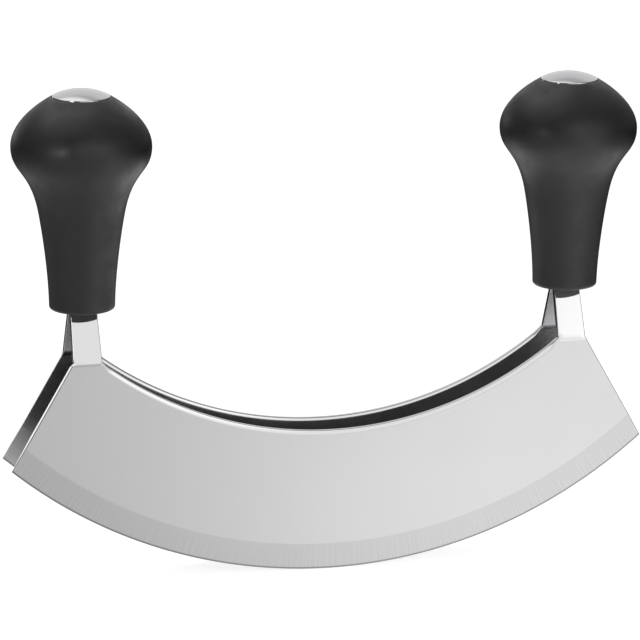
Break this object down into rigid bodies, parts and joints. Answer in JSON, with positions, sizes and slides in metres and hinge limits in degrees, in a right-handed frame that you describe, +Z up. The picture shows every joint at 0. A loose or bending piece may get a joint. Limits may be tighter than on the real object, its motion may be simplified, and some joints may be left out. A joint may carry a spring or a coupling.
{
  "type": "mezzaluna",
  "caption": "Twin-blade mezzaluna: curved ground blades joined at both ends by bent tangs under black palm knobs with domed steel caps.",
  "frame": {"origin": "midway between the two blades, below the middle of the tool, at the height of the lowest point of the cutting edges", "axes": "+X from the left knob to the right knob, +Y from the front blade to the rear blade, +Z up from the cutting edges to the knobs"},
  "size_m": [0.21, 0.0446, 0.1596],
  "materials": {
    "blade_steel": "satin-ground faces, polished edges and tangs",
    "knob_plastic": "moulded, fine matt texture",
    "cap_steel": "polished stainless",
    "block_steel": "machined",
    "fastener_zinc": "zinc plated",
    "plug_plastic": "moulded"
  },
  "bodies": {
    "root": {"front_blade": "blade_steel", "rear_blade": "blade_steel", "left_knob": "knob_plastic", "left_tang_block": "block_steel", "left_lower_rivet": "fastener_zinc", "left_upper_rivet": "fastener_zinc", "left_screw": "fastener_zinc", "left_flat_washer": "fastener_zinc", "left_spring_washer": "fastener_zinc", "left_cap_plug": "plug_plastic", "left_cap": "cap_steel", "right_knob": "knob_plastic", "right_tang_block": "block_steel", "right_lower_rivet": "fastener_zinc", "right_upper_rivet": "fastener_zinc", "right_screw": "fastener_zinc", "right_flat_washer": "fastener_zinc", "right_spring_washer": "fastener_zinc", "right_cap_plug": "plug_plastic", "right_cap": "cap_steel"}
  },
  "joints": []
}
